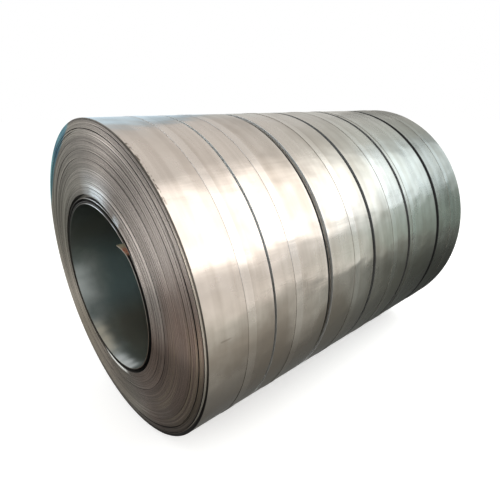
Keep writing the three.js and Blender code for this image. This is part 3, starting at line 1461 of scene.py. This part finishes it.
@dataclass(kw_only=True)
class SealClip(Piece):
    """A crimped seal: a channel of sheet pressed over the strap's lapped ends.

    Attributes:
        coil_radius: Radius of the coil that it lies on.
        angle: Angle of its middle.
        length: Length round the coil.
        wall: Thickness of its sheet.
        rise: Height of its back over the coil.
        crimp: How deep each crimp pinches its sides in.
        crimp_places: Where the crimps are, from its middle.
        crimp_width: Length of one crimp.
    """

    coil_radius: float
    angle: float
    length: float = 0.046
    wall: float = 0.0012
    rise: float = 0.0036
    crimp: float = 0.0022
    crimp_places: tuple[float, ...] = (-0.010, 0.010)
    crimp_width: float = 0.007

    def build(self) -> Object:
        """Presses the channel, crimps it and bends it onto the coil.

        Returns:
            Its object.
        """
        bm = bmesh.new()
        bmesh.ops.create_grid(bm, x_segments=10, y_segments=46, size=0.5)
        width = self.high - self.low
        bmesh.ops.scale(bm, vec=(width, self.length, 1.0), verts=bm.verts)
        sides = [e for e in bm.edges
                 if e.is_boundary and all(abs(abs(v.co.x) - width / 2) < TOUCHING for v in e.verts)]
        for _ in range(2):
            grown = bmesh.ops.extrude_edge_only(bm, edges=sides)["geom"]
            lower = [item for item in grown if isinstance(item, bmesh.types.BMVert)]
            bmesh.ops.translate(bm, vec=(0, 0, -(self.rise - CLEARANCE) / 2), verts=lower)
            sides = [e for e in grown if isinstance(e, bmesh.types.BMEdge) and e.is_boundary
                     and all(v in lower for v in e.verts)]
        bmesh.ops.recalc_face_normals(bm, faces=bm.faces)
        if next(f for f in bm.faces if abs(f.normal.z) > 0.9).normal.z < 0:
            bmesh.ops.reverse_faces(bm, faces=bm.faces)
        bmesh.ops.solidify(bm, geom=bm.faces[:], thickness=self.wall)
        bmesh.ops.recalc_face_normals(bm, faces=bm.faces)
        for vert in bm.verts:
            pinch = max(0.0, 1 - min(abs(vert.co.y - p) for p in self.crimp_places) / (self.crimp_width / 2))
            side = smooth_share(abs(vert.co.x), width / 2 - 0.004, width / 2 - 0.001)
            vert.co.x -= math.copysign(self.crimp * pinch * side, vert.co.x)
            self.bend(vert)
        return finish_mesh(bm, f"seal_clip_{self.number}", self.materials, sharp=50.0)

    def bend(self, vert: bmesh.types.BMVert) -> None:
        """Moves a point of the flat channel to its place on the coil.

        Args:
            vert: The point.
        """
        radius = self.coil_radius + self.rise + vert.co.z
        turned = math.radians(self.angle) + vert.co.y / self.coil_radius
        vert.co = round_axis(self.axis_height, (self.low + self.high) / 2 + vert.co.x, radius, turned)


# ---- studio --------------------------------------------------------------------------


@dataclass(frozen=True)
class SideBox:
    """A soft box that faces the near end of the set.

    Attributes:
        name: Name of the lamp.
        place: Its middle.
        size: Its width and height.
        radiance: How bright its face is, where white is one.
    """

    name: str
    place: Triple
    size: Pair
    radiance: float


@dataclass(frozen=True)
class GreyCard:
    """A grey card that only gloss shows, as a studio sets one up beside polished metal.

    Attributes:
        name: Name of the card.
        low: Its lowest corner.
        high: Its highest corner.
        ramps: Brightness along its axes, multiplied together.
        tone: Colour of its brightest part.
    """

    name: str
    low: Triple
    high: Triple
    ramps: tuple[Ramp, ...]
    tone: str = "#FAFFFC"

    def build(self) -> None:
        """Adds the card."""
        bm = bmesh.new()
        bmesh.ops.create_grid(bm, x_segments=1, y_segments=1, size=0.5)
        low, high = Vector(self.low), Vector(self.high)
        size = high - low
        side = Vector((size.x, 0.0, 0.0)) if size.x else Vector((0.0, size.y, 0.0))
        for vert in bm.verts:
            vert.co = (low + high) / 2 + vert.co.x * side + vert.co.y * (size - side)
        material = new_material(self.name)
        tree = material.node_tree
        tree.nodes.clear()
        graph = NodeGraph(tree, add_node(tree, "ShaderNodeTexCoord").outputs["Object"])
        level = linear(self.tone)
        for ramp in self.ramps:
            level = graph.times(level, graph.ramp(ramp))
        glow = add_node(tree, "ShaderNodeEmission", {"Color": level, "Strength": 1.0})
        add_node(tree, "ShaderNodeOutputMaterial", {"Surface": glow.outputs["Emission"]})
        card = finish_mesh(bm, self.name, (material,))
        card.visible_camera = card.visible_diffuse = card.visible_shadow = False


SOFT_BOX_EDGES = Ramp("Y", ((-3.5, 0.35), (-3.0, 0.5), (-2.75, 0.85), (-2.4, 1.1), (-1.1, 1.0), (-0.75, 0.62),
                            (-0.3, 0.33)))

CARDS = (
    GreyCard("soft_box_face_near", (-0.8, -3.5, 1.098), (2.4, -0.3, 3.003), (
        SOFT_BOX_EDGES,
        Ramp("X", ((-0.8, 1.2), (0.1, 2.2), (0.8, 2.8), (1.2, 3.3), (2.0, 3.1), (2.4, 2.6))),
    ), "#FFFFFF"),
    GreyCard("soft_box_face_far", (2.4, -3.5, 1.098), (5.0, -0.3, 3.003), (
        SOFT_BOX_EDGES,
        Ramp("X", ((2.4, 2.6), (3.0, 2.35), (3.6, 2.5), (4.0, 1.75), (4.4, 1.45), (5.0, 1.1))),
    ), "#EBF2FF"),
    GreyCard("grey_floor_card_camera_side", (-1.4, -2.6, 0.001), (6.0, 0.0, 0.001), (
        Ramp("Y", ((-2.6, 0.95), (-2.0, 0.9), (-1.0, 0.5), (-0.7, 0.30), (-0.4, 0.20), (0.0, 0.18))),
        Ramp("X", ((-1.4, 1.45), (-0.3, 1.35), (0.3, 1.15), (0.7, 0.85), (1.3, 0.45), (1.8, 0.44),
                   (2.6, 0.52), (3.4, 0.28), (6.0, 0.24))),
    )),
    GreyCard("grey_floor_card_far_side", (-3.0, 0.0, 0.001), (6.0, 6.0, 0.001), (
        Ramp("Y", ((0.0, 0.7), (0.14, 0.5), (0.24, 0.36), (0.4, 0.18), (0.95, 0.09), (1.4, 0.26), (2.2, 0.5),
                   (4.0, 0.6), (6.0, 0.9))),
        Ramp("X", ((-3.0, 1.8), (-1.7, 1.5), (-1.29, 1.0), (-1.13, 1.3), (-1.03, 1.2), (-0.97, 1.0),
                   (-0.94, 0.85), (6.0, 0.85))),
    )),
    GreyCard("low_end_card", (3.4, -3.3, 0.0), (3.4, 2.0, 1.58), (
        Ramp("Y", ((-3.3, 1.2), (-2.6, 0.8), (-1.9, 0.36), (2.0, 0.26))),
    ), "#E6F6F0"),
    GreyCard("tall_end_card", (3.4, -0.3, 1.58), (3.4, 2.0, 2.35), (
        Ramp("Z", ((1.58, 0.26), (2.35, 0.36))),
    )),
    GreyCard("blue_gel_card", (-1.0, 4.4, 0.3), (2.7, 4.4, 4.6), (
        Ramp("Z", ((0.3, 1.2), (1.2, 1.7), (3.0, 1.75), (4.6, 1.05))),
        Ramp("X", ((-1.0, 1.0), (1.7, 1.0), (2.4, 0.55), (2.7, 0.5))),
    ), "#D0ECFF"),
    GreyCard("grey_far_card", (2.7, 4.4, 0.3), (7.0, 4.4, 3.0), (
        Ramp("Z", ((0.3, 0.72), (1.8, 0.78), (3.0, 1.1))),
    )),
)


@dataclass(frozen=True)
class Studio:
    """Pale floor, white surroundings, one long soft box and the camera.

    Attributes:
        camera_place: Where the camera stands.
        camera_yaw: Its heading from +X towards +Y, in degrees.
        camera_pitch: Its tilt, negative down, in degrees.
        focal_pixels: Its focal length in pixels of a frame of `frame_pixels`.
        frame_pixels: Width and height of that frame.
        centre_pixel: Where its axis meets the frame, from the top left.
        sensor: Width of its sensor in millimetres.
        floor_half_width: Half the width of the floor.
        floor_colour: Colour of the floor.
        floor_glow: How much the floor glows for the camera and in gloss.
        surround_for_diffuse: Strength of the white surroundings as light, where white is one.
        box_low: Corner of the long soft box at its low end and lower edge.
        box_high: Corner at its high end and upper edge.
        box_radiance: How bright its face is, where white is one.
        end_aim: Point that the other soft boxes face.
        side_boxes: Those soft boxes.
    """

    camera_place: Triple = (-1.3256, -1.3882, 1.2251)
    camera_yaw: float = 45.47
    camera_pitch: float = -23.53
    focal_pixels: float = 403.2
    frame_pixels: float = 500.0
    centre_pixel: Pair = (276.46, 277.2)
    sensor: float = 36.0
    floor_half_width: float = 30.0
    floor_colour: str = "#E6E6E4"
    floor_glow: float = 0.48
    surround_for_diffuse: float = 0.75
    box_low: Triple = (-0.5, -3.06, 1.36)
    box_high: Triple = (3.6, -0.86, 2.67)
    box_radiance: float = 2.0
    end_aim: Triple = (-0.8, 0.0, 0.6)
    side_boxes: tuple[SideBox, ...] = (
        SideBox("rear_soft_box", (-2.6, 3.0, 1.8), (0.8, 1.6), 2.5),
        SideBox("end_soft_box", (-4.2, 0.25, 1.0), (4.6, 1.4), 3.5),
    )

    def seen_rays(self, tree: Tree) -> Socket:
        """One for rays that show the surroundings: from the camera, in gloss and through glass.

        Args:
            tree: The tree that needs it.

        Returns:
            One or zero.
        """
        ray = add_node(tree, "ShaderNodeLightPath")
        seen = add_node(tree, "ShaderNodeMath", {
            0: ray.outputs["Is Camera Ray"], 1: ray.outputs["Is Glossy Ray"],
        }, operation="MAXIMUM").outputs["Value"]
        return add_node(tree, "ShaderNodeMath", {
            0: seen, 1: ray.outputs["Is Transmission Ray"],
        }, operation="MAXIMUM").outputs["Value"]

    def add_camera(self) -> None:
        """Adds the camera and makes it the scene's."""
        data = bpy.data.cameras.new("view_camera")
        data.sensor_width = self.sensor
        data.lens = self.focal_pixels / self.frame_pixels * self.sensor
        half = self.frame_pixels / 2
        data.shift_x = (half - self.centre_pixel[0]) / self.frame_pixels
        data.shift_y = (self.centre_pixel[1] - half) / self.frame_pixels
        camera = bpy.data.objects.new("view_camera", data)
        camera.location = self.camera_place
        tilt = math.radians(90 + self.camera_pitch)
        camera.rotation_euler = Euler((tilt, 0.0, math.radians(self.camera_yaw - 90)))
        bpy.context.scene.collection.objects.link(camera)
        bpy.context.scene.camera = camera

    def add_floor(self) -> None:
        """Adds the pale floor, which shows white to the camera and in gloss, with its shadow."""
        bm = bmesh.new()
        bmesh.ops.create_grid(bm, x_segments=1, y_segments=1, size=self.floor_half_width)
        # Matt and pale, so it takes soft shadows and no mirror image.
        material = new_material("pale_matt_floor")
        tree = material.node_tree
        glow = add_node(tree, "ShaderNodeMath", {0: self.seen_rays(tree), 1: self.floor_glow},
                        operation="MULTIPLY")
        feed(tree, tree.nodes["Principled BSDF"], {
            "Base Color": linear(self.floor_colour),
            "Roughness": 1.0,
            "Specular IOR Level": 0.0,
            "Emission Color": WHITE,
            "Emission Strength": glow.outputs["Value"],
        })
        finish_mesh(bm, "floor", (material,))

    def add_surround(self) -> None:
        """Makes the surroundings white to look at and plainer as light."""
        world = bpy.data.worlds.new("white_surround")
        world.use_nodes = True
        tree = world.node_tree
        strength = add_node(tree, "ShaderNodeMapRange", {
            "Value": self.seen_rays(tree), "To Min": self.surround_for_diffuse, "To Max": 1.0,
        }).outputs["Result"]
        feed(tree, tree.nodes["Background"], {"Color": WHITE, "Strength": strength})
        bpy.context.scene.world = world

    def add_area_lamp(self, name: str, basis: Matrix, place: Vector, size: Pair,
                      radiance: float) -> Object:
        """Adds a rectangular soft box that the camera doesn't see.

        Args:
            name: Name of the lamp.
            basis: Its turn; it shines along its own -Z.
            place: Its middle.
            size: Its size along its own X and Y.
            radiance: How bright its face is, where white is one.

        Returns:
            The lamp.
        """
        data = bpy.data.lights.new(name, "AREA")
        data.shape = "RECTANGLE"
        data.size, data.size_y = size
        data.energy = radiance * math.pi * data.size * data.size_y
        lamp = bpy.data.objects.new(name, data)
        lamp.matrix_world = Matrix.Translation(place) @ basis.to_4x4()
        lamp.visible_camera = False
        bpy.context.scene.collection.objects.link(lamp)
        return lamp

    def add_soft_boxes(self) -> None:
        """Adds the long soft box over the camera side, and those that face the first coil's end."""
        low, high = Vector(self.box_low), Vector(self.box_high)
        rise = Vector((0.0, high.y - low.y, high.z - low.z))
        along, up = Vector(ALONG_AXIS), rise.normalized()
        basis = Matrix((along, up, along.cross(up))).transposed()
        lamp = self.add_area_lamp("long_soft_box", basis, (low + high) / 2, (high.x - low.x, rise.length),
                                  self.box_radiance)
        # Gloss shows the card in front of it instead, whose edges are soft.
        lamp.visible_glossy = False
        for box in self.side_boxes:
            place = Vector(box.place)
            aim = (Vector(self.end_aim) - place).to_track_quat("-Z", "Y").to_matrix()
            self.add_area_lamp(box.name, aim, place, box.size, box.radiance)

    def build(self) -> None:
        """Sets up the whole studio."""
        bpy.context.scene.view_settings.view_transform = "Standard"
        self.add_camera()
        self.add_floor()
        self.add_surround()
        self.add_soft_boxes()
        for card in CARDS:
            card.build()


# ---- the set -------------------------------------------------------------------------

PLAIN_END = EndFace(turns_shown=18)

# The first, telescoped coil shows its near end in full, and the last one its far end.
NEAR_ENDS = {
    1: EndFace(turns_shown=200, outer_turns=2, outer_step=0.004, lean=TELESCOPE_SHIFT, drift=0.014, set_back=(
        SetBack(5, 1, 0.006, centre=200, spread=130),
        SetBack(12, 1, 0.010, centre=150, spread=260),
        SetBack(13, 1, 0.004, centre=205, spread=70),
        SetBack(15, 1, 0.010, centre=42, spread=42),
        SetBack(17, 1, 0.0012, centre=120, spread=80),
        SetBack(24, 1, 0.0015, centre=150, spread=120),
        SetBack(33, 1, 0.0015, centre=60, spread=110),
        SetBack(41, 1, 0.002, centre=80, spread=110),
        SetBack(52, 1, 0.0012, centre=90, spread=120),
        SetBack(65, 1, 0.002, centre=190, spread=130),
        SetBack(71, 1, 0.0015, centre=80, spread=100),
        SetBack(80, 4, 0.016, centre=25, spread=105),
        SetBack(85, 3, 0.018, centre=40, spread=115),
    )),
    3: EndFace(turns_shown=18, outer_turns=3, outer_step=0.009),
}
FAR_ENDS = {
    1: EndFace(turns_shown=18, lean=-TELESCOPE_SHIFT, outer_turns=2, outer_step=-0.004),
    3: EndFace(turns_shown=18, outer_turns=3, outer_step=-0.009),
    COIL_COUNT: EndFace(turns_shown=200, set_back=(
        SetBack(3, 1, 0.006, centre=200, spread=140),
        SetBack(14, 2, 0.008, centre=60, spread=170),
        SetBack(27, 1, 0.004, centre=320, spread=120),
        SetBack(41, 1, 0.006, centre=300, spread=120),
        SetBack(65, 1, 0.006, centre=120, spread=120),
        SetBack(88, 2, 0.008, centre=100, spread=110),
    )),
}


@dataclass
class CoilSet:
    """The six coils with their loose turn, straps and seals.

    Attributes:
        axis_height: Height of the axis above the floor.
        radius: Outside radius of the coils.
    """

    axis_height: float
    radius: float

    def __post_init__(self) -> None:
        """Makes the finishes."""
        height = self.axis_height
        slit = {"roughness": 0.42, "grain": Grain.RADIAL, "stretch": 0.95}
        # Oiled strip: satin and pale, with painted shade low down.
        self.wall = ColdRolledStrip("cold_rolled_strip_oiled", height, clean="#CBC0B5", shaded="#ACA094",
                                    dirt="#8C8074", roughness=0.27).build()
        # Sheared edges: fine rings that draw highlights out along the spokes, under painted shade, light and
        # highlights.
        self.edges = SlitEdges("slit_strip_edges_sheared", height, clean="#AEA69F", shaded="#8B837D",
                               dirt="#937C70", **slit).build()
        # The same edges on the loose turn: darker all over as painted shade in the bore, darkest on the far
        # side.
        self.loose_edges = SlitEdges("slit_strip_edges_shaded", height, clean="#9C968F", shaded="#7F7972",
                                     dirt="#8A7767", far_tone="#A4A5A1", grease_radius=0.2, **slit).build()
        # The bore: cool, with painted shade deeper in and at the top, and painted highlights at the mouth.
        self.bore = OiledBore("rolled_strip_bore_shade_and_glints", height, clean="#C6CFCC", shaded="#A9B4B1",
                              roughness=0.34).build()
        # Painted shade in the gaps: nearly black, so that single turns read.
        self.gaps = GapGrime("painted_shade_in_turn_gaps", height, clean="#1B1816", shaded="#2A2622",
                             roughness=0.6).build()
        # First rust: warm freckles on matt strip, in painted shade where it lies against the coil.
        self.loose_face = RustedFace("rolled_strip_first_rust", height, clean="#CDC2A4", shaded="#B4A98C",
                                     roughness=0.4).build()
        # Strap: as the strip below it, a little brighter.
        self.strap = ColdRolledStrip("rolled_strap_bright", height, clean="#CFC5BB", shaded="#C2B7AC",
                                     dirt="#968A7E", roughness=0.25).build()
        # Slit strap edges: white and not metallic where a painted highlight lies.
        self.strap_edges = PlainSteel("slit_strap_edges", height, clean="#B4B0A9", shaded="#9C9891",
                                      dirt="#6A655E", roughness=0.5, burr=1.0).build()
        # Pressed sheet: plain grey steel, duller than the strap.
        self.seal = PlainSteel("pressed_seal_sheet", height, clean="#A9A9A6", shaded="#8E8E8B",
                               roughness=0.38).build()

    def place(self, obj: Object, slot: str, *nodes: str) -> None:
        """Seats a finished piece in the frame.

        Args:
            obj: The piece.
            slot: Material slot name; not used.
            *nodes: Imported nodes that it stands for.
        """
        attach(obj, BODY)
        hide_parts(*nodes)
        LOG.info("%s: %d faces", obj.name, len(obj.data.polygons))

    def build_coil(self, number: int) -> None:
        """Builds one wound coil, and on the first one its loose turn.

        Args:
            number: Which coil of the set it is.
        """
        low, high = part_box(COIL_NODE.format(number))
        near, far = NEAR_ENDS.get(number, PLAIN_END), FAR_ENDS.get(number, PLAIN_END)
        wall_low = low.x + near.lean + near.outer_step
        wall_high = high.x
        bore = BORE_RADIUS + (STRIP_THICKNESS + LOOSE_TURN_GAP if number == 1 else 0.0)
        # The loose turn hides the first coil's own bore.
        surfaces = (self.wall, self.edges, self.gaps if number == 1 else self.bore, self.gaps)
        coil = WoundCoil(number=number, low=wall_low, high=wall_high, axis_height=self.axis_height,
                         materials=surfaces, radius=self.radius, bore=bore, near=near, far=far)
        self.place(coil.build(), "coil_steel", COIL_NODE.format(number))
        if number == 1:
            loose = LooseTurn(low=low.x, high=low.x + (wall_high - wall_low), axis_height=self.axis_height,
                              materials=(self.loose_face, self.loose_edges, self.bore))
            self.place(loose.build(), "coil_steel", COIL_NODE.format(number))

    def build_strap(self, number: int) -> None:
        """Builds one strap and its seal.

        Args:
            number: Which strap of the set it is.
        """
        low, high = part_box(STRAP_NODE.format(number))
        seal_low, seal_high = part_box(SEAL_NODE.format(number))
        middle = (seal_low + seal_high) / 2
        angle = math.degrees(math.atan2(middle.z - self.axis_height, middle.y))
        strap = StrapBand(number=number, low=low.x, high=high.x, axis_height=self.axis_height,
                          materials=(self.strap, self.strap_edges), inside=self.radius + CLEARANCE,
                          outside=(high.z - low.z) / 2, lap_angle=angle)
        self.place(strap.build(), "strap_steel", STRAP_NODE.format(number))
        clip = SealClip(number=number, low=seal_low.x, high=seal_high.x, axis_height=self.axis_height,
                        materials=(self.seal,), coil_radius=self.radius, angle=angle)
        self.place(clip.build(), "seal_steel", SEAL_NODE.format(number))


def main() -> None:
    """Builds the set and the studio, in order."""
    logging.basicConfig(level=logging.INFO, format="%(message)s")
    coil_low, coil_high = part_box(COIL_NODE.format(2))
    strap_low, strap_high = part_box(STRAP_NODE.format(1))
    axis_height = (strap_low.z + strap_high.z) / 2
    coils = CoilSet(axis_height, (coil_high.z - coil_low.z) / 2)
    for number in range(1, COIL_COUNT + 1):
        coils.build_coil(number)
        coils.build_strap(number)
    Studio().build()


if __name__ == "__main__":
    main()
